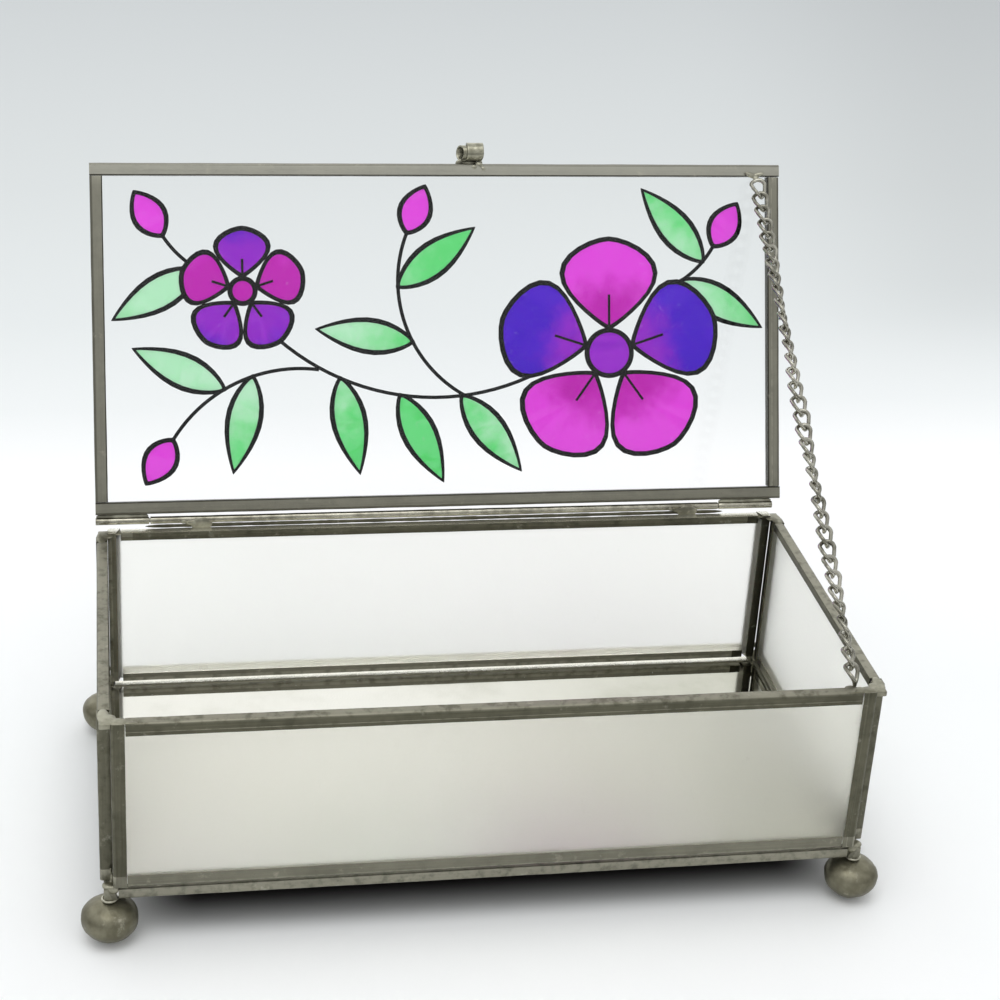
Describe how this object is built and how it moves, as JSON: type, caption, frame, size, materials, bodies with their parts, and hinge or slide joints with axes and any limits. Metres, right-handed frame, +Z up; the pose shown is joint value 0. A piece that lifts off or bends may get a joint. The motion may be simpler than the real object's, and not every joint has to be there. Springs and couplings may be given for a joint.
{
  "type": "glass casket box",
  "caption": "Low glass keepsake box on ball feet, its panes in soldered metal cames, with a mirrored base and a painted clear lid on a tube hinge, held open by a chain.",
  "frame": {"origin": "on the surface the box stands on, under the middle of the box's extent in plan with its lid held open", "axes": "+X to the right seen from the front, along the hinge; +Y from the front to the back; +Z up"},
  "size_m": [0.1892, 0.134, 0.1505],
  "materials": {
    "frosted_glass": "frosted, translucent, faint smudges",
    "clear_glass": "clear, polished",
    "mirror_glass": "silvered, faintly dusty",
    "came_metal": "antique pewter, dull with brighter worn edges",
    "solder": "soft bright solder with dark patches",
    "foot_metal": "antique pewter, polished where it is touched",
    "hinge_metal": "drawn tube, dull",
    "chain_metal": "drawn wire, bright where links rub",
    "black_liner": "raised black relief liner",
    "violet_paint": "translucent glass paint",
    "magenta_paint": "translucent glass paint",
    "green_paint": "translucent glass paint"
  },
  "bodies": {
    "box": {"front_pane": "frosted_glass", "back_pane": "frosted_glass", "left_pane": "frosted_glass", "right_pane": "frosted_glass", "base_pane": "mirror_glass", "front_came": "came_metal", "back_came": "came_metal", "left_came": "came_metal", "right_came": "came_metal", "base_came": "came_metal", "rim_solder": "solder", "base_solder": "solder", "foot_front_left": "foot_metal", "foot_front_right": "foot_metal", "foot_back_left": "foot_metal", "foot_back_right": "foot_metal", "foot_collars": "foot_metal", "foot_solder": "solder", "hinge_barrel": "hinge_metal", "hinge_pin": "hinge_metal", "hinge_barrel_solder": "solder", "chain_box_solder": "solder", "chain_links": "chain_metal"},
    "lid": {"lid_pane": "clear_glass", "lid_came": "came_metal", "lid_knuckle_left": "hinge_metal", "lid_knuckle_right": "hinge_metal", "lid_knuckle_solder": "solder", "lid_pull": "hinge_metal", "lid_pull_solder": "solder", "chain_lid_solder": "solder", "design_outline": "black_liner", "design_violet_petals": "violet_paint", "design_magenta_petals": "magenta_paint", "design_leaves": "green_paint"}
  },
  "joints": [
    {"name": "lid_hinge", "type": "hinge", "parent": "box", "child": "lid", "pos_m": [0, 0.02902, 0.0602], "axis": [1, 0, 0], "range_deg": [0, 112], "deforming": ["chain_links"]}
  ]
}
